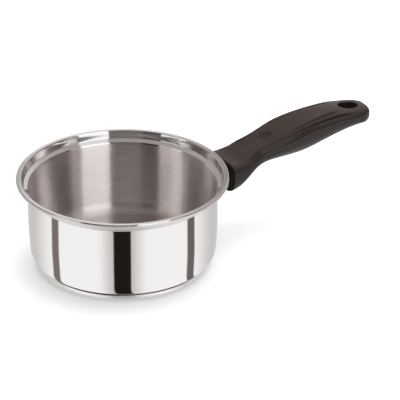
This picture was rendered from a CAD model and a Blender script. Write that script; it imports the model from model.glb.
"""Looks of a small steel milk pan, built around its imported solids.

The pan's axis is Z, it rests on z = 0 and its handle points along +X. Sizes in
the classes are millimetres, and the meshes are built in metres.
"""

import logging
import math
from dataclasses import dataclass, field, replace
from enum import Enum, IntEnum

import bmesh
import bpy
import numpy as np
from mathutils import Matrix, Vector


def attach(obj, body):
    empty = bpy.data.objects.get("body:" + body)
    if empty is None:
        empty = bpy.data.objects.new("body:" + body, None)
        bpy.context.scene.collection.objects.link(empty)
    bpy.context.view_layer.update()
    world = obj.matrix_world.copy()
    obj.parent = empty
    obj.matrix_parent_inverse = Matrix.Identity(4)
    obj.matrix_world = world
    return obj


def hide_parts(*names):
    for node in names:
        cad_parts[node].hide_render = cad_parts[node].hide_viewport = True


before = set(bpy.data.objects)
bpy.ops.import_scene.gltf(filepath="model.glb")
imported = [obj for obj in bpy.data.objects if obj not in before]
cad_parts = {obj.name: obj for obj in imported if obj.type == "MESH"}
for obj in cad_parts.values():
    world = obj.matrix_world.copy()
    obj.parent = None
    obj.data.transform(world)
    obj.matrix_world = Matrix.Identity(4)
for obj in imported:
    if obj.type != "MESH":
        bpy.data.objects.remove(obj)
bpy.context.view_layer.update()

MM = 0.001
ROOT = "root"
log = logging.getLogger("milk_pan")

Socket = bpy.types.NodeSocket
Inputs = dict[str | int, object]
Color = tuple[float, float, float]
Face = tuple[int, ...]


class Slot(Enum):
    """The record's material slots."""

    VESSEL = "vessel_steel"
    CAP = "cap_steel"
    CORE = "core_aluminium"
    BRACKET = "bracket_steel"
    PHENOLIC = "phenolic"
    BRASS = "brass"
    SCREW = "screw_steel"


class Zone(IntEnum):
    """Which finish a face of the vessel takes."""

    POLISHED = 0
    BRUSHED = 1
    SATIN = 2


# Node trees


class NodeBuilder:
    """Adds nodes to one node tree."""

    def __init__(self, tree: bpy.types.NodeTree) -> None:
        """Keeps the tree that gets the nodes."""
        self.tree = tree

    def feed(self, node: bpy.types.Node, inputs: Inputs) -> None:
        """Fills a node's inputs.

        Args:
            node: The node.
            inputs: Values or output sockets, by the input's name or number.
        """
        for key, value in inputs.items():
            if isinstance(value, Socket):
                self.tree.links.new(value, node.inputs[key])
            else:
                node.inputs[key].default_value = value

    def add(self, kind: str, inputs: Inputs | None = None, **settings: object) -> bpy.types.Node:
        """Adds a node.

        Args:
            kind: Blender's name of the node type.
            inputs: Values or output sockets, by the input's name or number.
            **settings: Properties of the node itself.

        Returns:
            The new node.
        """
        made = self.tree.nodes.new(kind)
        for key, value in settings.items():
            setattr(made, key, value)
        self.feed(made, inputs or {})
        return made

    def math(self, operation: str, *values: object) -> Socket:
        """Adds a Math node and returns its output."""
        return self.add("ShaderNodeMath", dict(enumerate(values)), operation=operation).outputs[0]

    def vector(self, operation: str, *values: object) -> Socket:
        """Adds a Vector Math node and returns its vector."""
        return self.add("ShaderNodeVectorMath", dict(enumerate(values)), operation=operation).outputs[0]

    def measured(self, operation: str, *values: object) -> Socket:
        """Adds a Vector Math node and returns its number."""
        return self.add("ShaderNodeVectorMath", dict(enumerate(values)), operation=operation).outputs["Value"]

    def scaled(self, arrow: object, factor: object) -> Socket:
        """Multiplies a vector by a number."""
        return self.add("ShaderNodeVectorMath", {0: arrow, "Scale": factor}, operation="SCALE").outputs[0]

    def height_of(self, arrow: Socket) -> Socket:
        """Returns a vector's third part."""
        return self.add("ShaderNodeSeparateXYZ", {0: arrow}).outputs[2]

    def noise(self, place: Socket, scale: float, detail: float, **more: float) -> bpy.types.Node:
        """Adds a Noise Texture node and returns it."""
        return self.add("ShaderNodeTexNoise", {"Vector": place, "Scale": scale, "Detail": detail, **more})

    def bump(self, height: Socket, distance: float) -> Socket:
        """Turns a pattern into a normal."""
        return self.add("ShaderNodeBump", {"Height": height, "Distance": distance}).outputs[0]

    def mixed(self, share: Socket, first: Socket, second: Socket) -> Socket:
        """Mixes two numbers."""
        return self.add("ShaderNodeMix", {0: share, 2: first, 3: second}, data_type="FLOAT").outputs[0]

    def ramp(self, value: Socket, start: float, stop: float, low: float, high: float) -> Socket:
        """Adds a smooth step.

        Args:
            value: The socket that drives the step.
            start: Where the step starts.
            stop: Where the step ends.
            low: The result before the step.
            high: The result after the step.

        Returns:
            The step's output.
        """
        inputs = {"Value": value, "From Min": start, "From Max": stop, "To Min": low, "To Max": high}
        return self.add("ShaderNodeMapRange", inputs, interpolation_type="SMOOTHSTEP").outputs[0]


# Finishes


@dataclass(frozen=True, kw_only=True)
class Finish:
    """A color and a roughness, each varied by up to half of its swing."""

    name: str
    color: Color
    roughness: float
    roughness_swing: float
    color_swing: float = 0.0

    def build(self) -> bpy.types.Material:
        """Makes the material."""
        material = bpy.data.materials.new(self.name)
        material.use_nodes = True
        nodes = NodeBuilder(material.node_tree)
        shader = material.node_tree.nodes["Principled BSDF"]
        place = nodes.add("ShaderNodeTexCoord").outputs["Object"]
        tone = nodes.math("SUBTRACT", self.texture(nodes, shader, place), 0.5)
        color: object = (*self.color, 1)
        if self.color_swing:
            color = nodes.scaled(self.color, nodes.math("MULTIPLY_ADD", tone, self.color_swing, 1.0))
        roughness = nodes.math("MULTIPLY_ADD", tone, self.roughness_swing, self.roughness)
        nodes.feed(shader, {"Base Color": color, "Roughness": roughness})
        return material

    def texture(self, nodes: NodeBuilder, shader: bpy.types.Node, place: Socket) -> Socket:
        """Gives the surface its relief and its own properties.

        Args:
            nodes: The builder of the material's tree.
            shader: The material's shader.
            place: The point on the object.

        Returns:
            The pattern from 0 to 1 that varies color and roughness.
        """
        raise NotImplementedError


@dataclass(frozen=True, kw_only=True)
class TurnedMetal(Finish):
    """Metal whose polishing or brushing lines run round the pan's axis.

    The lines follow the distance along the sheet's section, so they run on
    from the wall over the corner to the floor without a seam. Each line leans
    a little, by up to half of lean_around and lean_across. Lift turns the sheen
    of upright walls upwards, and dish turns that of level parts to the axis,
    where level_power tells how level a part has to be.
    """

    anisotropy: float
    lines_per_metre: float
    turns: float
    lean_around: float
    lean_across: float
    lift: float = 0.0
    dish: float = 0.0
    level_power: float = 8.0
    wave_height: float = 0.0
    wave_scale: float = 30.0
    quarter_turn: float = 0.25

    def texture(self, nodes: NodeBuilder, shader: bpy.types.Node, place: Socket) -> Socket:
        """Leans the normal line by line. The base class tells the arguments and the result."""
        flat = nodes.vector("MULTIPLY", place, (1, 1, 0))
        bearing = nodes.vector("NORMALIZE", flat)
        lines = self.lines(nodes, place, flat, bearing)
        tone, around_tone, across_tone = nodes.add("ShaderNodeSeparateColor", {0: lines}).outputs
        around = nodes.add("ShaderNodeTangent", direction_type="RADIAL", axis="Z").outputs[0]
        normal = nodes.bump(nodes.noise(place, self.wave_scale, 1.0).outputs[0], self.wave_height)
        across = nodes.vector("CROSS_PRODUCT", normal, around)
        leans = ((around, around_tone, self.lean_around), (across, across_tone, self.lean_across))
        for direction, pattern, lean in leans:
            share = nodes.math("MULTIPLY", nodes.math("SUBTRACT", pattern, 0.5), lean)
            normal = nodes.vector("ADD", normal, nodes.scaled(direction, share))
        level = nodes.math("POWER", nodes.height_of(normal), self.level_power)
        inward = nodes.scaled(bearing, nodes.math("MULTIPLY", level, -self.dish))
        turned = nodes.vector("ADD", inward, (0, 0, self.lift))
        normal = nodes.vector("NORMALIZE", nodes.vector("ADD", normal, turned))
        own = {"Metallic": 1.0, "Anisotropic": self.anisotropy, "Anisotropic Rotation": self.quarter_turn}
        nodes.feed(shader, {**own, "Tangent": around, "Normal": normal})
        return tone

    def lines(self, nodes: NodeBuilder, place: Socket, flat: Socket, bearing: Socket) -> Socket:
        """Adds the line pattern.

        Args:
            nodes: The builder of the material's tree.
            place: The point on the object.
            flat: The point in the plan view.
            bearing: The direction from the axis to it.

        Returns:
            A color whose parts are three patterns from 0 to 1.
        """
        along = nodes.math("ADD", nodes.measured("LENGTH", flat), nodes.height_of(place))
        climb = nodes.add("ShaderNodeCombineXYZ", {2: nodes.math("MULTIPLY", along, self.lines_per_metre)})
        where = nodes.vector("ADD", nodes.scaled(bearing, self.turns), climb.outputs[0])
        return nodes.noise(where, 1.0, 5.0, Roughness=0.65).outputs["Color"]


@dataclass(frozen=True, kw_only=True)
class Moulding(Finish):
    """A moulded resin with a fine skin texture and slow changes of tone."""

    grain_scale: float
    grain_height: float
    tone_scale: float
    gloss: float
    gloss_tint: Color

    def texture(self, nodes: NodeBuilder, shader: bpy.types.Node, place: Socket) -> Socket:
        """Adds the grain. The base class tells the arguments and the result."""
        grain = nodes.noise(place, self.grain_scale, 4.0).outputs[0]
        own = {"Specular IOR Level": self.gloss, "Specular Tint": (*self.gloss_tint, 1)}
        nodes.feed(shader, {**own, "Normal": nodes.bump(grain, self.grain_height)})
        return nodes.noise(place, self.tone_scale, 3.0).outputs[0]


@dataclass(frozen=True, kw_only=True)
class PlainMetal(Finish):
    """Metal of a small fastener: a soft sheen with fine uneven marks."""

    color_swing: float = 0.2
    mark_scale: float = 900.0
    mark_height: float = 0.00002

    def texture(self, nodes: NodeBuilder, shader: bpy.types.Node, place: Socket) -> Socket:
        """Adds the marks. The base class tells the arguments and the result."""
        marks = nodes.noise(place, self.mark_scale, 4.0).outputs[0]
        nodes.feed(shader, {"Metallic": 1.0, "Normal": nodes.bump(marks, self.mark_height)})
        return marks


POLISHED_STEEL = TurnedMetal(
    name="polished_steel",
    color=(0.86, 0.85, 0.84),
    roughness=0.06,
    roughness_swing=0.03,
    anisotropy=0.3,
    lines_per_metre=1500.0,
    turns=3.0,
    lean_around=0.002,
    lean_across=0.006,
    dish=0.09,
    wave_height=0.00001,
)
BRUSHED_STEEL = TurnedMetal(
    name="brushed_steel",
    color=(0.815, 0.76, 0.75),
    roughness=0.28,
    roughness_swing=0.05,
    anisotropy=1.0,
    lines_per_metre=2400.0,
    turns=4.0,
    lean_around=0.05,
    lean_across=0.5,
    color_swing=0.5,
    lift=0.45,
)
SATIN_STEEL = TurnedMetal(
    name="satin_steel",
    color=(0.94, 0.915, 0.90),
    roughness=0.55,
    roughness_swing=0.05,
    anisotropy=0.0,
    lines_per_metre=1500.0,
    turns=3.0,
    lean_around=0.01,
    lean_across=0.02,
)
CAP_STEEL = TurnedMetal(
    name="cap_steel",
    color=(0.99, 0.96, 0.95),
    roughness=0.42,
    roughness_swing=0.08,
    anisotropy=0.0,
    lines_per_metre=1400.0,
    turns=4.0,
    lean_around=0.9,
    lean_across=0.1,
    color_swing=0.06,
    lift=-0.3,
)
CORE_ALUMINIUM = TurnedMetal(
    name="core_aluminium",
    color=(0.30, 0.29, 0.29),
    roughness=0.5,
    roughness_swing=0.1,
    anisotropy=0.4,
    lines_per_metre=1200.0,
    turns=4.0,
    lean_around=0.02,
    lean_across=0.1,
    color_swing=0.1,
)
BRACKET_STEEL = PlainMetal(
    name="bracket_steel", color=(0.62, 0.61, 0.60), roughness=0.3, roughness_swing=0.15
)
SCREW_STEEL = PlainMetal(
    name="screw_steel", color=(0.68, 0.68, 0.68), roughness=0.28, roughness_swing=0.14
)
BRASS = PlainMetal(name="brass", color=(0.78, 0.60, 0.30), roughness=0.3, roughness_swing=0.15)
PHENOLIC = Moulding(
    name="phenolic",
    color=(0.011, 0.0075, 0.0062),
    roughness=0.30,
    roughness_swing=0.08,
    color_swing=0.25,
    grain_scale=1800.0,
    grain_height=0.00002,
    tone_scale=35.0,
    gloss=0.38,
    gloss_tint=(1.0, 0.9, 0.86),
)
END_PHENOLIC = replace(PHENOLIC, name="phenolic_end", roughness=0.7, gloss=0.1)


# Meshes


def make_piece(
    name: str,
    points: np.ndarray,
    faces: list[Face],
    materials: list[bpy.types.Material],
    zones: list[int] | None = None,
) -> bpy.types.Object:
    """Makes a mesh object.

    Args:
        name: The piece's name.
        points: Its vertices, in millimetres.
        faces: Its faces, as vertex numbers.
        materials: Its materials.
        zones: The material number of each face.

    Returns:
        The new object, linked to the scene.
    """
    mesh = bpy.data.meshes.new(name)
    mesh.from_pydata((points * MM).tolist(), [], faces)
    for material in materials:
        mesh.materials.append(material)
    if zones is not None:
        mesh.polygons.foreach_set("material_index", zones)
    mesh.polygons.foreach_set("use_smooth", [True] * len(mesh.polygons))
    piece = bpy.data.objects.new(name, mesh)
    bpy.context.scene.collection.objects.link(piece)
    return piece


def face_outwards(piece: bpy.types.Object, crease: float) -> None:
    """Turns a closed mesh's faces outwards and keeps edges over an angle crisp.

    Args:
        piece: The mesh object.
        crease: The angle in degrees from which an edge stays crisp.
    """
    work = bmesh.new()
    work.from_mesh(piece.data)
    bmesh.ops.recalc_face_normals(work, faces=work.faces)
    work.to_mesh(piece.data)
    work.free()
    piece.data.set_sharp_from_angle(angle=math.radians(crease))


def cut(piece: bpy.types.Object, cutter: bpy.types.Object) -> None:
    """Takes a cutter out of a piece and removes the cutter.

    Args:
        piece: The mesh that is cut.
        cutter: The closed mesh that cuts it.
    """
    change = piece.modifiers.new("cut", "BOOLEAN")
    change.operation = "DIFFERENCE"
    change.solver = "EXACT"
    change.object = cutter
    bpy.context.view_layer.update()
    depsgraph = bpy.context.evaluated_depsgraph_get()
    result = bpy.data.meshes.new_from_object(piece.evaluated_get(depsgraph))
    piece.modifiers.clear()
    old = piece.data
    piece.data = result
    result.name = piece.name
    bpy.data.meshes.remove(old)
    bpy.data.objects.remove(cutter)


def settle(piece: bpy.types.Object, slot: Slot, *nodes: str) -> None:
    """Puts a finished piece on the frame in place of CAD nodes.

    Args:
        piece: The finished piece.
        slot: The record's slot that its finish belongs to.
        *nodes: The CAD nodes that it stands for.
    """
    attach(piece, ROOT)
    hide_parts(*nodes)
    log.info("%s: %d faces, for %s", piece.name, len(piece.data.polygons), ", ".join(nodes))


def dress_node(name: str, finish: Finish) -> None:
    """Gives a CAD node its finish.

    Args:
        name: The node's name.
        finish: The finish to build.
    """
    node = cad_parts[name]
    material = finish.build()
    if not node.material_slots:
        node.data.materials.append(material)
    for place in node.material_slots:
        place.material = material
    log.info("%s: CAD node with %s", name, finish.name)


@dataclass
class Strip:
    """The middle line of a bent sheet, in a half section of radius and height."""

    points: np.ndarray
    tangents: np.ndarray

    @classmethod
    def bent(
        cls,
        corners: list[tuple[float, float]],
        bends: list[float],
        longest: float,
        step_degrees: float = 5.0,
        least_steps: int = 5,
    ) -> "Strip":
        """Rounds the corners of a line.

        Args:
            corners: The line's corners.
            bends: The radius at each inner corner.
            longest: The longest step along a straight run.
            step_degrees: The longest step round a bend.
            least_steps: The fewest steps round a bend.

        Returns:
            The line as close points with exact tangents.
        """
        places, headings = [], []
        corner = [np.array(c, float) for c in corners]
        last = corner[0]
        for number, bend in enumerate(bends, start=1):
            into = corner[number] - corner[number - 1]
            out = corner[number + 1] - corner[number]
            into, out = into / np.linalg.norm(into), out / np.linalg.norm(out)
            turn = math.atan2(into[0] * out[1] - into[1] * out[0], float(into @ out))
            reach = bend * math.tan(abs(turn) / 2)
            start = corner[number] - into * reach
            cls._run(places, headings, (last, start), into, longest)
            side = np.array((-into[1], into[0])) * math.copysign(1, turn)
            centre = start + side * bend
            steps = max(least_steps, math.ceil(abs(math.degrees(turn)) / step_degrees))
            for step in range(steps):
                angle = turn * step / steps
                places.append(centre + cls._spin(start - centre, angle))
                headings.append(cls._spin(into, angle))
            last = corner[number] + out * reach
            into = out
        cls._run(places, headings, (last, corner[-1]), into, longest)
        places.append(corner[-1])
        headings.append(into)
        return cls(np.array(places), np.array(headings))

    @staticmethod
    def _spin(arrow: np.ndarray, angle: float) -> np.ndarray:
        """Turns an arrow by an angle in radians."""
        c, s = math.cos(angle), math.sin(angle)
        return np.array((arrow[0] * c - arrow[1] * s, arrow[0] * s + arrow[1] * c))

    @staticmethod
    def _run(
        places: list[np.ndarray],
        headings: list[np.ndarray],
        ends: tuple[np.ndarray, np.ndarray],
        heading: np.ndarray,
        longest: float,
    ) -> None:
        """Adds the points of a straight run, without its last one."""
        start, stop = ends
        count = max(1, math.ceil(float(np.linalg.norm(stop - start)) / longest))
        for step in range(count):
            places.append(start + (stop - start) * step / count)
            headings.append(heading)

    def skin(self, thickness: float, end_steps: int = 8) -> tuple[np.ndarray, int]:
        """Walks round the sheet: out along its outer side, round its edge and back.

        Args:
            thickness: The sheet's thickness.
            end_steps: The steps round the sheet's edge.

        Returns:
            The closed half section, and how many of its points are on the outer side.
        """
        right = np.stack((self.tangents[:, 1], -self.tangents[:, 0]), axis=1)
        outer = self.points + right * thickness / 2
        inner = self.points - right * thickness / 2
        edge = []
        for step in range(1, end_steps):
            angle = math.pi * step / end_steps
            away = right[-1] * math.cos(angle) + self.tangents[-1] * math.sin(angle)
            edge.append(self.points[-1] + thickness / 2 * away)
        return np.concatenate((outer, np.array(edge), inner[::-1])), len(outer)


def revolve(
    name: str,
    section: np.ndarray,
    segments: int,
    materials: list[bpy.types.Material],
    span_zones: list[int] | None = None,
) -> bpy.types.Object:
    """Turns a half section about the pan's axis. Its first and last points are on the axis.

    Args:
        name: The piece's name.
        section: Points of radius and height.
        segments: Faces around.
        materials: The piece's materials.
        span_zones: The material number of each span of the section.

    Returns:
        The new object.
    """
    turn = np.linspace(0, 2 * math.pi, segments, endpoint=False)
    rings = section[1:-1]
    radius, height = rings[:, :1], rings[:, 1:]
    body = np.stack((radius * np.cos(turn), radius * np.sin(turn), height + 0 * turn), axis=2).reshape(-1, 3)
    poles = np.array([(0, 0, section[0][1]), (0, 0, section[-1][1])])
    points = np.concatenate((body, poles))
    first, last = len(body), len(body) + 1
    faces, zones = [], []
    zone_of = span_zones or [0] * (len(section) - 1)
    for side in range(segments):
        beside = (side + 1) % segments
        faces.append((first, beside, side))
        zones.append(zone_of[0])
        for ring in range(len(rings) - 1):
            low, high = ring * segments, (ring + 1) * segments
            faces.append((low + side, low + beside, high + beside, high + side))
            zones.append(zone_of[ring + 1])
        top = (len(rings) - 1) * segments
        faces.append((last, top + side, top + beside))
        zones.append(zone_of[-1])
    return make_piece(name, points, faces, materials, zones)


# Vessel and base


@dataclass
class Vessel:
    """The deep-drawn pan with its stepped rim: polished outside, brushed inside."""

    lip_top: float = 70.2
    bore_radius: float = 70.0
    sheet: float = 0.7
    base_height: float = 4.0
    corner_bend: float = 9.0
    lower_draft: float = 1.85
    draft_height: float = 32.0
    draft_bend: float = 200.0
    rim_height: float = 8.0
    ledge_run: float = 3.75
    ledge_rise: float = 2.45
    riser_run: float = 1.4
    lip_run: float = 3.25
    curl_run: float = 0.1
    curl_drop: float = 1.8
    ledge_bend: float = 1.8
    riser_bend: float = 1.3
    lip_bend: float = 0.9
    curl_bend: float = 0.6
    curl_polish_share: float = 0.7
    longest_step: float = 4.0
    segments: int = 384

    def build(self) -> bpy.types.Object:
        """Builds and dresses the vessel."""
        wall = self.bore_radius + self.sheet / 2
        lip = self.lip_top - self.sheet / 2
        foot = lip - self.rim_height
        bottom = self.base_height + self.sheet / 2
        riser = wall + self.ledge_run + self.riser_run
        corners = [
            (0, bottom),
            (wall - self.lower_draft, bottom),
            (wall, self.draft_height),
            (wall, foot),
            (wall + self.ledge_run, foot + self.ledge_rise),
            (riser, lip),
            (riser + self.lip_run, lip),
            (riser + self.lip_run + self.curl_run, lip - self.curl_drop),
        ]
        bends = [
            self.corner_bend,
            self.draft_bend,
            self.ledge_bend,
            self.riser_bend,
            self.lip_bend,
            self.curl_bend,
        ]
        section, outer_count = Strip.bent(corners, bends, self.longest_step).skin(self.sheet)
        zones = []
        for number, (low, high) in enumerate(zip(section, section[1:])):
            inside = number > outer_count
            bottom, top = min(low[1], high[1]), max(low[1], high[1])
            turned_down = not inside or min(low[0], high[0]) > riser + self.lip_run
            under_lip = bottom > foot - self.ledge_bend and top < lip - self.curl_polish_share * self.curl_bend
            if inside and top < foot:
                zones.append(Zone.BRUSHED)
            elif turned_down and under_lip:
                zones.append(Zone.SATIN)
            else:
                zones.append(Zone.POLISHED)
        materials = [POLISHED_STEEL.build(), BRUSHED_STEEL.build(), SATIN_STEEL.build()]
        piece = revolve("vessel", section, self.segments, materials, zones)
        settle(piece, Slot.VESSEL, "pan_body")
        return piece


@dataclass
class Base:
    """The pressed cap under the vessel, and the disc that it holds."""

    cap_radius: float = 63.4
    cap_sheet: float = 0.6
    cap_bend: float = 1.3
    cap_rim_height: float = 3.3
    longest_step: float = 4.0
    segments: int = 384

    def build(self) -> bpy.types.Object:
        """Builds and dresses the cap, and dresses the disc."""
        side = self.cap_radius - self.cap_sheet / 2
        middle = self.cap_sheet / 2
        corners = [(0, middle), (side, middle), (side, self.cap_rim_height - middle)]
        section, _ = Strip.bent(corners, [self.cap_bend], self.longest_step).skin(self.cap_sheet)
        piece = revolve("base_cap_skin", section, self.segments, [CAP_STEEL.build()])
        settle(piece, Slot.CAP, "base_cap")
        dress_node("base_core", CORE_ALUMINIUM)
        return piece


# Handle


class SmoothCurve:
    """A natural cubic through the values of a table."""

    def __init__(self, knots: np.ndarray, values: np.ndarray) -> None:
        """Solves the curve's bending at each knot.

        Args:
            knots: Places, rising.
            values: The value at each place.
        """
        self.knots, self.values = knots, values
        gap = np.diff(knots)
        count = len(knots)
        matrix, right = np.eye(count), np.zeros(count)
        for n in range(1, count - 1):
            matrix[n, n - 1 : n + 2] = gap[n - 1], 2 * (gap[n - 1] + gap[n]), gap[n]
            right[n] = 6 * ((values[n + 1] - values[n]) / gap[n] - (values[n] - values[n - 1]) / gap[n - 1])
        self.bending = np.linalg.solve(matrix, right)

    def __call__(self, place: np.ndarray) -> np.ndarray:
        """Returns the curve's values at the given places."""
        n = np.clip(np.searchsorted(self.knots, place) - 1, 0, len(self.knots) - 2)
        gap = self.knots[n + 1] - self.knots[n]
        b = (place - self.knots[n]) / gap
        a = 1 - b
        bend = ((a**3 - a) * self.bending[n] + (b**3 - b) * self.bending[n + 1]) * gap**2 / 6
        return a * self.values[n] + b * self.values[n + 1] + bend


@dataclass
class Draft:
    """The vertices and faces of a mesh that grows loop by loop."""

    vertices: list[np.ndarray]
    faces: list[Face] = field(default_factory=list)

    def add_loop(self, before: list[int], points: np.ndarray) -> list[int]:
        """Adds a closed loop of vertices, joins it to the loop before and returns its numbers."""
        numbers = list(range(len(self.vertices), len(self.vertices) + len(points)))
        self.vertices.extend(points)
        self.join(before, numbers)
        return numbers

    def join(self, before: list[int], after: list[int]) -> None:
        """Adds the faces between two loops of equal length."""
        for n in range(len(before)):
            m = (n + 1) % len(before)
            self.faces.append((before[n], before[m], after[m], after[n]))


def eased(value: np.ndarray, start: float, stop: float) -> np.ndarray:
    """Returns a smooth step from 0 at start to 1 at stop."""
    t = np.clip((value - start) / (stop - start), 0, 1)
    return t * t * (3 - 2 * t)


def plateau(value: np.ndarray, span: tuple[float, float, float, float]) -> np.ndarray:
    """Rises from 0 to 1 between a span's first two places and falls between its last two."""
    return eased(value, *span[:2]) * (1 - eased(value, *span[2:]))


def bell(distance: np.ndarray, width: float) -> np.ndarray:
    """Returns a smooth bump that is 1 at no distance and fades over a width."""
    return np.exp(-((distance / width) ** 2))


@dataclass
class Handle:
    """The moulded handle: a hump-backed grip with flutes, a thumb hollow and a hanging hole.

    Spans and places of the relief are shares of the length. A row of the table
    of stations has the share of the length, the shares of half width, crown
    and depth, how far down the widest place is, and the squareness above and
    below it.
    """

    start: float = 86.3
    length: float = 127.2
    half_width: float = 17.5
    depth: float = 24.4
    crown_low: float = 61.9
    crown_high: float = 80.6
    end_round: float = 1.2
    tip_round: float = 1.1
    tip_crown: float = 0.3
    hole_x: float = 198.4
    hole_length: float = 16.0
    hole_width: float = 12.0
    hole_round: float = 1.0
    hole_frame: tuple[float, float] = (-11.0, 9.8)
    hole_frame_share: float = 0.76
    mouth_ease: tuple[float, float] = (-0.5, 1.2)
    flute_depth: float = 1.2
    flute_width: float = 0.8
    inner_flute: float = 9.7
    inner_span: tuple[float, float, float, float] = (0.36, 0.46, 0.7, 0.82)
    outer_span: tuple[float, float, float, float] = (0.08, 0.18, 0.8, 0.92)
    outer_flute_places: tuple[float, ...] = (0.1, 0.2, 0.35, 0.5, 0.7, 0.9)
    outer_flutes: tuple[float, ...] = (6.6, 6.2, 6.6, 6.0, 4.9, 3.8)
    bead_height: float = 0.7
    bead_width: float = 0.7
    bead_gap: float = 1.5
    parting_height: float = 0.35
    parting_width: float = 0.4
    parting_span: tuple[float, float, float, float] = (0.05, 0.15, 0.9, 0.97)
    thumb_radius: float = 13.0
    thumb_depth: float = 2.0
    thumb_fade: float = 0.4
    thumb_start: float = 0.06
    thumb_end: float = 0.26
    thumb_soft: float = 0.25
    socket_width: float = 16.5
    socket_low: float = 49.75
    socket_high: float = 56.25
    socket_end: float = 104.25
    socket_round: float = 0.4
    screw_x: float = 94.1
    seat_height: float = 46.75
    head_bore: float = 5.0
    screw_bore: float = 2.9
    bore_bottom: float = 30.0
    insert_bore: float = 3.65
    insert_top: float = 60.5
    cut_overlap: float = 1.0
    cut_segments: int = 64
    crease: float = 40.0
    across: int = 64
    rings: int = 260
    corner_steps: int = 7
    mouth_steps: int = 8
    bore_steps: int = 10
    tip_steps: int = 8
    root_inset_share: float = 0.02
    spacing_power: float = 2.8
    spacing_height: float = 0.4
    spacing_steps: int = 2000
    stations: tuple[tuple[float, ...], ...] = (
        (0.000, 1.061, 0.000, 1.020, 0.41, 5.5, 2.6),
        (0.060, 1.047, 0.020, 0.953, 0.38, 5.0, 2.5),
        (0.130, 0.953, 0.146, 0.822, 0.37, 4.5, 2.5),
        (0.210, 0.870, 0.307, 0.660, 0.31, 3.8, 2.5),
        (0.300, 0.955, 0.477, 0.680, 0.28, 3.0, 2.5),
        (0.410, 1.000, 0.709, 0.866, 0.28, 3.0, 2.5),
        (0.530, 0.948, 0.893, 1.000, 0.27, 3.0, 2.5),
        (0.660, 0.894, 1.000, 0.943, 0.30, 3.0, 2.5),
        (0.780, 0.860, 0.991, 0.791, 0.31, 3.0, 2.5),
        (0.880, 0.845, 0.892, 0.605, 0.34, 3.0, 2.6),
        (0.940, 0.752, 0.855, 0.573, 0.40, 3.0, 2.8),
        (0.980, 0.604, 0.807, 0.517, 0.44, 3.0, 3.0),
        (1.000, 0.482, 0.767, 0.416, 0.46, 3.0, 3.0),
    )
    curves: list[SmoothCurve] = field(init=False)

    def __post_init__(self) -> None:
        """Makes a smooth curve of each column of the table."""
        table = np.array(self.stations)
        self.curves = [SmoothCurve(table[:, 0], column) for column in table[:, 1:].T]

    def section(self, x: np.ndarray) -> tuple[np.ndarray, ...]:
        """Gives the section's sizes at places along the handle.

        Args:
            x: Places on the X axis.

        Returns:
            Half width, top, middle and bottom heights, and the squareness above
            and below the middle.
        """
        along = (x - self.start) / self.length
        width, crown, depth, widest, above, below = (curve(along) for curve in self.curves)
        top = self.crown_low + (self.crown_high - self.crown_low) * crown
        middle, bottom = top - self.depth * depth * widest, top - self.depth * depth
        return self.half_width * width, top, middle, bottom, above, below

    def skin(self, x: np.ndarray, share: np.ndarray, upper: bool) -> np.ndarray:
        """Gives the height of the plain skin.

        Args:
            x: Places on the X axis.
            share: Distances from the centre plane, as shares of the half width.
            upper: Whether the upper skin is meant.

        Returns:
            The heights.
        """
        _, top, middle, bottom, above, below = self.section(x)
        power = above if upper else below
        rise = (top if upper else bottom) - middle
        return middle + rise * np.maximum(0, 1 - np.abs(share) ** power) ** (1 / power)

    def hollow(self, x: np.ndarray, y: np.ndarray) -> np.ndarray:
        """Gives the height of the thumb hollow's floor, a barrel with a round end."""
        start, end = (self.start + self.length * share for share in (self.thumb_start, self.thumb_end))
        low, high = (float(self.skin(np.array(place), np.array(0.0), True)) for place in (start, end))
        low += self.thumb_radius + self.thumb_fade
        high += self.thumb_radius - self.thumb_depth
        along = np.clip((x - start) / (end - start), 0, 1)
        axis = low + (high - low) * along
        beyond = np.maximum(0, x - end) + np.maximum(0, start - x)
        inside = self.thumb_radius**2 - y**2 - beyond**2
        return np.where(inside > 0, axis - np.sqrt(np.maximum(inside, 0)), np.inf)

    def relief(self, x: np.ndarray, walked: np.ndarray, is_upper: np.ndarray) -> np.ndarray:
        """Gives how far the flutes, beads and parting line stand above the plain skin.

        Args:
            x: Places on the X axis.
            walked: Distances over the skin from the nearer parting line.
            is_upper: Whether each column is on the upper skin.

        Returns:
            Heights along the skin's normal.
        """
        along = (x - self.start) / self.length
        parting = self.parting_height * bell(walked, self.parting_width) * plateau(along, self.parting_span)
        inner, outer = plateau(along, self.inner_span), plateau(along, self.outer_span)
        valley = np.interp(along, self.outer_flute_places, self.outer_flutes)
        flutes = inner * bell(walked - self.inner_flute, self.flute_width)
        flutes = flutes + outer * bell(walked - valley, self.flute_width)
        bead = outer * bell(walked - valley + self.bead_gap, self.bead_width)
        return parting + np.where(is_upper, self.bead_height * bead - self.flute_depth * flutes, 0)

    def shares(self) -> np.ndarray:
        """Gives evenly spaced places from the right edge to the left one, as shares of the half width."""
        angle = np.linspace(0, math.pi / 2, self.spacing_steps)
        power = 2 / self.spacing_power
        y, z = np.cos(angle) ** power, self.spacing_height * np.sin(angle) ** power
        walked = np.concatenate(([0], np.cumsum(np.hypot(np.diff(y), np.diff(z)))))
        quarter = np.interp(np.linspace(0, walked[-1], self.across + 1), walked, y)
        quarter[-1] = 0
        return np.concatenate((quarter, -quarter[-2::-1]))

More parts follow.
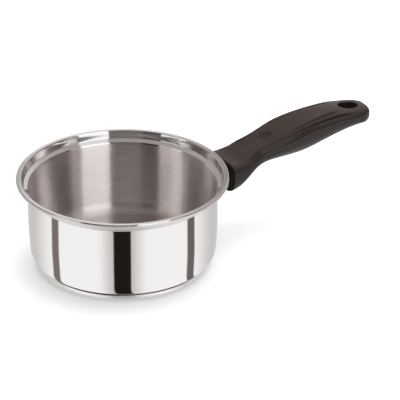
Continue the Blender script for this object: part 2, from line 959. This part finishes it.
    def grid(self) -> tuple[np.ndarray, np.ndarray, np.ndarray]:
        """Builds the skin as rings of points.

        Returns:
            The points by ring and column, the rings' places on X, and the
            columns' shares of the half width.
        """
        upper = self.shares()
        shares = np.concatenate((upper, upper[-2:0:-1]))
        is_upper = np.arange(len(shares)) < len(upper)
        last = self.start + self.length - self.tip_round / 2
        places = np.linspace(self.start + self.end_round, last, self.rings)
        x, share = np.meshgrid(places, shares, indexing="ij")
        z = np.where(is_upper, self.skin(x, share, True), self.skin(x, share, False))
        points = np.stack((x, share * self.section(x)[0], z), axis=2)
        normal = np.cross(np.gradient(points, axis=0), self._around(points))
        normal /= np.linalg.norm(normal, axis=2, keepdims=True)
        away = np.sign((normal * (points - points.mean(axis=1, keepdims=True))).sum(axis=2, keepdims=True))
        steps = np.linalg.norm(np.roll(points, -1, axis=1) - points, axis=2)
        walked = np.cumsum(steps, axis=1) - steps
        girth, half = walked[:, -1:] + steps[:, -1:], walked[:, len(upper) - 1 : len(upper)]
        walked = np.minimum.reduce([walked, np.abs(walked - half), girth - walked])
        points = points + normal * away * self.relief(x, walked, is_upper)[..., None]
        self._sink_thumb(points, is_upper)
        return points, places, shares

    def _sink_thumb(self, points: np.ndarray, is_upper: np.ndarray) -> None:
        """Lowers the upper skin to the thumb hollow's floor, with a soft edge."""
        height = points[..., 2]
        floor = self.hollow(points[..., 0], points[..., 1])
        gap = np.clip((floor - height) / self.thumb_soft, -1, 1)
        blend = self.thumb_soft * (1 - gap) ** 2 / 4
        lowered = np.where(gap < 1, height - blend, height)
        lowered = np.where(gap <= -1, floor, lowered)
        points[..., 2] = np.where(is_upper & np.isfinite(floor), lowered, height)

    @staticmethod
    def _around(points: np.ndarray) -> np.ndarray:
        """Gives the step from the column before to the column after, round each ring."""
        return np.roll(points, -1, axis=-2) - np.roll(points, 1, axis=-2)

    def corner(self, ring: np.ndarray, x_end: float, shares: np.ndarray, inset: float) -> list[np.ndarray]:
        """Rounds the edge between the skin and an end face.

        Args:
            ring: The skin's last ring.
            x_end: The end face's place on X.
            shares: The columns' shares of the half width.
            inset: How far the rounding reaches into the end face.

        Returns:
            The new rings, the last one on the end face.
        """
        is_upper = np.arange(len(shares)) < len(self.shares())
        x = np.full(len(shares), x_end)
        z = np.where(is_upper, self.skin(x, shares, True), self.skin(x, shares, False))
        edge = np.stack((x, shares * self.section(x)[0], z), axis=1)
        step = self._around(edge)
        inward = np.stack((0 * x, -step[:, 2], step[:, 1]), axis=1)
        inward /= np.linalg.norm(inward, axis=1, keepdims=True)
        inward *= np.sign((inward * (edge.mean(axis=0) - edge)).sum(axis=1, keepdims=True))
        inner = edge + inward * inset
        rings = []
        for number in range(1, self.corner_steps + 1):
            t = number / self.corner_steps
            rings.append((1 - t) ** 2 * ring + 2 * t * (1 - t) * edge + t * t * inner)
        return rings

    def build(self) -> bpy.types.Object:
        """Builds and dresses the handle."""
        points, places, shares = self.grid()
        columns = len(shares)
        root = self.corner(points[0], self.start, shares, self.end_round)
        tip = self.corner(points[-1], self.start + self.length - self.tip_crown, shares, self.tip_round)
        rings = [*root[::-1], *points, *tip]
        draft = Draft([point for ring in rings for point in ring])
        ring_of = np.arange(len(rings) * columns).reshape(len(rings), columns)
        low, high = (len(root) + int(np.searchsorted(places, self.hole_x + reach)) for reach in self.hole_frame)
        edge = int(np.argmax(self.shares() < self.hole_frame_share))
        opened = range(edge, 2 * self.across - edge)
        for ring, (near, far) in enumerate(zip(ring_of, ring_of[1:])):
            for column in range(columns):
                if low <= ring < high and (column in opened or columns - 1 - column in opened):
                    continue
                beside = (column + 1) % columns
                draft.faces.append((near[column], near[beside], far[beside], far[column]))
        self.open_hole(draft, ring_of, (low, high), (opened.start, opened.stop))
        self.close_root(draft, ring_of[0])
        self.close_tip(draft, ring_of[-1])
        faces = [tuple(map(int, face)) for face in draft.faces]
        finishes = [PHENOLIC.build(), END_PHENOLIC.build()]
        piece = make_piece("handle_grip", np.array(draft.vertices), faces, finishes)
        end = (self.start + self.end_round / 4) * MM
        zones = [int(face.center.x < end) for face in piece.data.polygons]
        piece.data.polygons.foreach_set("material_index", zones)
        face_outwards(piece, self.crease)
        for cutter in self.cutters():
            cut(piece, cutter)
        face_outwards(piece, self.crease)
        settle(piece, Slot.PHENOLIC, "handle")
        return piece

    def open_hole(
        self, draft: Draft, ring_of: np.ndarray, span: tuple[int, int], side: tuple[int, int]
    ) -> None:
        """Leads the skin smoothly into the hanging hole, above and below, and lines the hole.

        Args:
            draft: The mesh, which grows.
            ring_of: Vertex numbers by ring and column.
            span: The first and last ring round the hole.
            side: The first and last column round the hole.
        """
        columns = ring_of.shape[1]
        (low, high), (left, right) = span, side
        loop = [(low, c) for c in range(left, right)] + [(r, right) for r in range(low, high)]
        loop += [(high, c) for c in range(right, left, -1)] + [(r, left) for r in range(high, low, -1)]
        rounded = np.array((self.hole_length, self.hole_width)) / 2 + self.hole_round
        begin, end = (eased(np.array(place), *self.mouth_ease) for place in (0.0, 1.0))
        mouths = []
        for upper in (True, False):
            before = [int(ring_of[r, c if upper else (columns - c) % columns]) for r, c in loop]
            outer = np.array([draft.vertices[n] for n in before])
            away = outer[:, :2] - (self.hole_x, 0)
            scale = 1 / np.hypot(away[:, 0] / rounded[0], away[:, 1] / rounded[1])
            lip = away * scale[:, None]
            for number in range(1, self.mouth_steps + 1):
                share = (eased(np.array(number / self.mouth_steps), *self.mouth_ease) - begin) / (end - begin)
                plan = away + (lip - away) * share + (self.hole_x, 0)
                before = draft.add_loop(before, self._on_skin(plan, upper, 0))
            angle = np.arctan2(lip[:, 1] / rounded[1], lip[:, 0] / rounded[0])
            turn = np.stack((np.cos(angle), np.sin(angle)), axis=1)
            for number in range(1, self.mouth_steps + 1):
                bend = math.pi / 2 * number / self.mouth_steps
                plan = turn * (rounded - self.hole_round * math.sin(bend)) + (self.hole_x, 0)
                sunk = self.hole_round * (1 - math.cos(bend))
                before = draft.add_loop(before, self._on_skin(plan, upper, sunk))
            mouths.append(before)
        top, bottom = (np.array([draft.vertices[n] for n in mouth]) for mouth in mouths)
        before = mouths[0]
        for number in range(1, self.bore_steps):
            before = draft.add_loop(before, top + (bottom - top) * number / self.bore_steps)
        draft.join(before, mouths[1])

    def _on_skin(self, plan: np.ndarray, upper: bool, sunk: float) -> np.ndarray:
        """Puts points of the plan view on the plain skin, sunk by a depth."""
        half_width = self.section(plan[:, 0])[0]
        z = self.skin(plan[:, 0], plan[:, 1] / half_width, upper)
        return np.column_stack((plan, z - sunk if upper else z + sunk))

    def close_root(self, draft: Draft, ring: np.ndarray) -> None:
        """Closes the flat end at the vessel."""
        edge = np.array([draft.vertices[n] for n in ring])
        inner = edge + (edge.mean(axis=0) - edge) * self.root_inset_share
        draft.faces.append(tuple(draft.add_loop([int(n) for n in ring], inner)))

    def close_tip(self, draft: Draft, ring: np.ndarray) -> None:
        """Closes the tip with a slightly crowned face."""
        edge = np.array([draft.vertices[n] for n in ring])
        middle = edge.mean(axis=0)
        before = [int(n) for n in ring]
        for number in range(1, self.tip_steps):
            share = number / self.tip_steps
            points = edge + (middle - edge) * share
            points[:, 0] += self.tip_crown * (1 - (1 - share) ** 2)
            before = draft.add_loop(before, points)
        draft.vertices.append(middle + (self.tip_crown, 0, 0))
        centre = len(draft.vertices) - 1
        for n, number in enumerate(before):
            draft.faces.append((number, before[(n + 1) % len(before)], centre))

    def cutters(self) -> list[bpy.types.Object]:
        """Makes the cutters of the bracket's socket, the screw's bores and the sleeve's seat."""
        half, flare = self.socket_width / 2, self.socket_round
        stages = [(self.start - flare, 2 * flare), (self.start + flare, 0.0), (self.socket_end, 0.0)]
        points, faces = [], []
        for x, grown in stages:
            for y, z in ((-1, -1), (1, -1), (1, 1), (-1, 1)):
                height = self.socket_low - grown if z < 0 else self.socket_high + grown
                points.append((x, y * (half + grown), height))
        for stage in range(len(stages) - 1):
            for n in range(4):
                m = (n + 1) % 4
                faces.append((stage * 4 + n, stage * 4 + m, stage * 4 + 4 + m, stage * 4 + 4 + n))
        faces += [(3, 2, 1, 0), tuple(range(len(points) - 4, len(points)))]
        socket = make_piece("socket_cutter", np.array(points), faces, [])
        face_outwards(socket, self.crease)
        deep, low = self.socket_low + self.cut_overlap, self.socket_high - self.cut_overlap
        bore = [
            (0, self.bore_bottom),
            (self.head_bore, self.bore_bottom),
            (self.head_bore, self.seat_height),
            (self.screw_bore, self.seat_height),
            (self.screw_bore, deep),
            (0, deep),
        ]
        seat = [(0, low), (self.insert_bore, low), (self.insert_bore, self.insert_top), (0, self.insert_top)]
        made = [socket]
        for name, section in (("bore_cutter", bore), ("seat_cutter", seat)):
            cutter = revolve(name, np.array(section, float), self.cut_segments, [])
            cutter.location.x = self.screw_x * MM
            made.append(cutter)
        return made


@dataclass
class Fastening:
    """The welded bracket, and the screw, washer and sleeve that hold the handle on it."""

    nodes: tuple[tuple[str, PlainMetal, Slot], ...] = (
        ("handle_bracket", BRACKET_STEEL, Slot.BRACKET),
        ("handle_screw", SCREW_STEEL, Slot.SCREW),
        ("spring_washer", SCREW_STEEL, Slot.SCREW),
        ("handle_insert", BRASS, Slot.BRASS),
    )

    def build(self) -> None:
        """Dresses the CAD nodes."""
        for name, finish, slot in self.nodes:
            dress_node(name, finish)


# Studio


@dataclass(frozen=True)
class Sector:
    """A soft-edged upright panel of the studio.

    The angles tell which bearings of an upright wall mirror the panel, in
    degrees to the right of the camera's bearing.
    """

    start: float
    stop: float
    level: float
    soft: float = 1.0


@dataclass(frozen=True)
class Band:
    """A level band of the studio, with its plain level and its panels.

    It begins where a surface's normal, as long as 1, rises from start to stop.
    """

    start: float
    stop: float
    level: float
    sectors: tuple[Sector, ...]


WALL_PANELS = (
    Sector(-22.5, 8.4, -0.30, 0.5),
    Sector(-22.5, -11.2, -0.06, 0.7),
    Sector(8.4, 26.5, 0.60, 0.5),
    Sector(26.5, 32.0, -0.23, 1.0),
    Sector(32.0, 50.0, 0.12, 2.0),
    Sector(-32.0, -22.5, 0.6, 1.0),
    Sector(-42.0, -32.0, 0.15, 1.5),
)
SKY_PANELS = (
    Sector(-22.5, 8.4, -0.30, 0.5),
    Sector(-22.5, -11.2, -0.11, 0.7),
    Sector(8.4, 26.5, 0.84, 0.5),
    Sector(34.0, 52.0, -0.31, 1.0),
    Sector(52.0, 120.0, -0.23, 1.0),
    Sector(-31.0, -22.5, 0.08, 1.0),
    Sector(-39.0, -31.0, 0.3, 1.0),
    Sector(-60.0, -39.0, -0.22, 1.0),
)
LEDGE_PANELS = (
    Sector(-30.0, 30.0, -0.07, 20.0),
    Sector(8.4, 26.5, 0.45, 1.0),
    Sector(60.0, 170.0, 0.24, 20.0),
    Sector(-170.0, -60.0, -0.03, 20.0),
)
TOP_PANELS = (
    Sector(-45.0, 45.0, 0.04, 30.0),
    Sector(45.0, 135.0, -0.24, 30.0),
    Sector(-135.0, -45.0, -0.44, 30.0),
)
WALL_BAND = Band(0.04, 0.09, 0.48, WALL_PANELS)
SKY_BAND = Band(0.34, 0.42, 0.44, SKY_PANELS)
LEDGE_BAND = Band(0.74, 0.8, 0.42, LEDGE_PANELS)
TOP_BAND = Band(0.95, 0.97, 0.76, TOP_PANELS)


@dataclass
class Studio:
    """A pale floor, a soft surround with upright panels, and the camera. Its sizes are metres."""

    camera_place: tuple[float, float, float] = (-1.3203, -2.3089, 1.4389)
    camera_target: tuple[float, float, float] = (0.04928, -0.02961, 0.0499)
    lens: float = 362.6
    view_depth: float = 50.0
    floor_size: float = 8.0
    floor_color: float = 0.3
    floor_glow: float = 0.46
    floor_roughness: float = 0.9
    lamp_place: tuple[float, float, float] = (0.2, 0.12, 1.2)
    lamp_size: float = 1.6
    lamp_power: float = 63.0
    low_level: float = 1.02
    flank_level: float = 0.58
    flank_angles: tuple[float, float] = (3.0, 16.5)
    side_share: float = 0.62
    side_angles: tuple[float, float] = (44.0, 71.5)
    low_flags: tuple[Sector, ...] = (
        Sector(-5.25, 5.25, 0.975, 0.3),
        Sector(42.8, 49.0, 0.84, 0.6),
        Sector(-47.6, -41.8, 0.8, 0.6),
    )
    corner_share: float = 0.132
    bands: tuple[Band, ...] = (WALL_BAND, SKY_BAND, LEDGE_BAND, TOP_BAND)
    warmth: tuple[float, float] = (0.07, 0.10)

    def build(self) -> None:
        """Builds the floor, the lamp, the surround and the camera."""
        self.make_floor()
        self.make_lamp()
        self.make_surround()
        self.make_camera()
        bpy.context.scene.view_settings.view_transform = "Standard"
        log.info("studio ready")

    def make_camera(self) -> None:
        """Puts the camera at the photograph's place."""
        data = bpy.data.cameras.new("camera")
        data.lens = self.lens
        data.clip_end = self.view_depth
        camera = bpy.data.objects.new("camera", data)
        bpy.context.scene.collection.objects.link(camera)
        camera.location = self.camera_place
        look = Vector(self.camera_target) - Vector(self.camera_place)
        camera.rotation_euler = look.to_track_quat("-Z", "Y").to_euler()
        bpy.context.scene.camera = camera

    def make_lamp(self) -> None:
        """Hangs a large soft lamp over the pan, which the metal doesn't reflect."""
        data = bpy.data.lights.new("lamp", "AREA")
        data.shape = "DISK"
        data.size = self.lamp_size
        data.energy = self.lamp_power
        lamp = bpy.data.objects.new("lamp", data)
        bpy.context.scene.collection.objects.link(lamp)
        lamp.location = self.lamp_place
        lamp.rotation_euler = Vector(self.lamp_place).to_track_quat("Z", "Y").to_euler()
        lamp.visible_glossy = False
        lamp.visible_camera = False

    def make_floor(self) -> None:
        """Lays the pale floor."""
        half = self.floor_size / 2
        mesh = bpy.data.meshes.new("floor")
        corners = [(-half, -half, 0), (half, -half, 0), (half, half, 0), (-half, half, 0)]
        mesh.from_pydata(corners, [], [(0, 1, 2, 3)])
        material = bpy.data.materials.new("floor_white")
        material.use_nodes = True
        inputs = {
            "Base Color": (self.floor_color, self.floor_color, self.floor_color, 1),
            "Roughness": self.floor_roughness,
            "Specular IOR Level": 0.0,
            "Emission Color": (1, 1, 1, 1),
            "Emission Strength": self.floor_glow,
        }
        NodeBuilder(material.node_tree).feed(material.node_tree.nodes["Principled BSDF"], inputs)
        mesh.materials.append(material)
        floor = bpy.data.objects.new("floor", mesh)
        floor.visible_glossy = False
        bpy.context.scene.collection.objects.link(floor)

    def make_surround(self) -> None:
        """Lights the studio with a soft surround of upright panels."""
        world = bpy.data.worlds.new("studio")
        bpy.context.scene.world = world
        world.use_nodes = True
        world.node_tree.nodes.clear()
        nodes = NodeBuilder(world.node_tree)
        look = nodes.add("ShaderNodeTexCoord").outputs["Generated"]
        away = (Vector(self.camera_target) - Vector(self.camera_place)).normalized()
        back = Vector((-away.x, -away.y, 0)).normalized()
        right = Vector((-back.y, back.x, 0))
        facing = nodes.vector("NORMALIZE", nodes.vector("SUBTRACT", look, away))
        ahead, beside = (nodes.measured("DOT_PRODUCT", facing, side) for side in (back, right))
        height = nodes.height_of(facing)
        angle = nodes.math("DEGREES", nodes.math("ARCTAN2", beside, ahead))
        level = self.low_band(nodes, angle, height)
        for band in self.bands:
            panels = nodes.math("ADD", self.panels(nodes, angle, band.sectors), band.level)
            level = nodes.mixed(nodes.ramp(height, band.start, band.stop, 0, 1), level, panels)
        dim = nodes.math("MINIMUM", level, 1.0)
        green, blue = (nodes.math("MULTIPLY", level, nodes.math("POWER", dim, power)) for power in self.warmth)
        color = nodes.add("ShaderNodeCombineColor", {0: level, 1: green, 2: blue})
        light = nodes.add("ShaderNodeBackground", {"Color": color.outputs[0]})
        nodes.add("ShaderNodeOutputWorld", {"Surface": light.outputs[0]})

    def low_band(self, nodes: NodeBuilder, angle: Socket, height: Socket) -> Socket:
        """Adds the level that upright walls mirror, with its dark flags.

        Args:
            nodes: The builder of the world's tree.
            angle: The bearing in degrees of the wall that mirrors the light.
            height: How far that wall faces upwards.

        Returns:
            The level.
        """
        spread = nodes.math("ABSOLUTE", angle)
        flat = nodes.math("SQRT", nodes.math("SUBTRACT", 1.0, nodes.math("MULTIPLY", height, height)))
        narrow = nodes.math("MULTIPLY_ADD", flat, self.corner_share, 1 - self.corner_share)
        middle = nodes.ramp(spread, *self.flank_angles, self.flank_level, self.low_level)
        plain = nodes.math("MULTIPLY", middle, nodes.ramp(spread, *self.side_angles, 1, self.side_share))
        flags = self.panels(nodes, nodes.math("MULTIPLY", angle, narrow), self.low_flags)
        return nodes.math("MULTIPLY", plain, nodes.math("SUBTRACT", 1.0, flags))

    @staticmethod
    def panels(nodes: NodeBuilder, angle: Socket, sectors: tuple[Sector, ...]) -> Socket:
        """Adds up the levels of upright panels.

        Args:
            nodes: The builder of the world's tree.
            angle: The bearing in degrees.
            sectors: The panels.

        Returns:
            The summed level.
        """
        total: object = 0.0
        for sector in sectors:
            rise = nodes.ramp(angle, sector.start - sector.soft, sector.start + sector.soft, 0, sector.level)
            fall = nodes.ramp(angle, sector.stop - sector.soft, sector.stop + sector.soft, 1, 0)
            total = nodes.math("MULTIPLY_ADD", rise, fall, total)
        return total


def main() -> None:
    """Builds every piece, then the studio."""
    logging.basicConfig(level=logging.INFO, format="%(name)s: %(message)s")
    for assembly in (Vessel(), Base(), Handle(), Fastening(), Studio()):
        assembly.build()
        log.info("%s built", type(assembly).__name__)


if __name__ == "__main__":
    main()
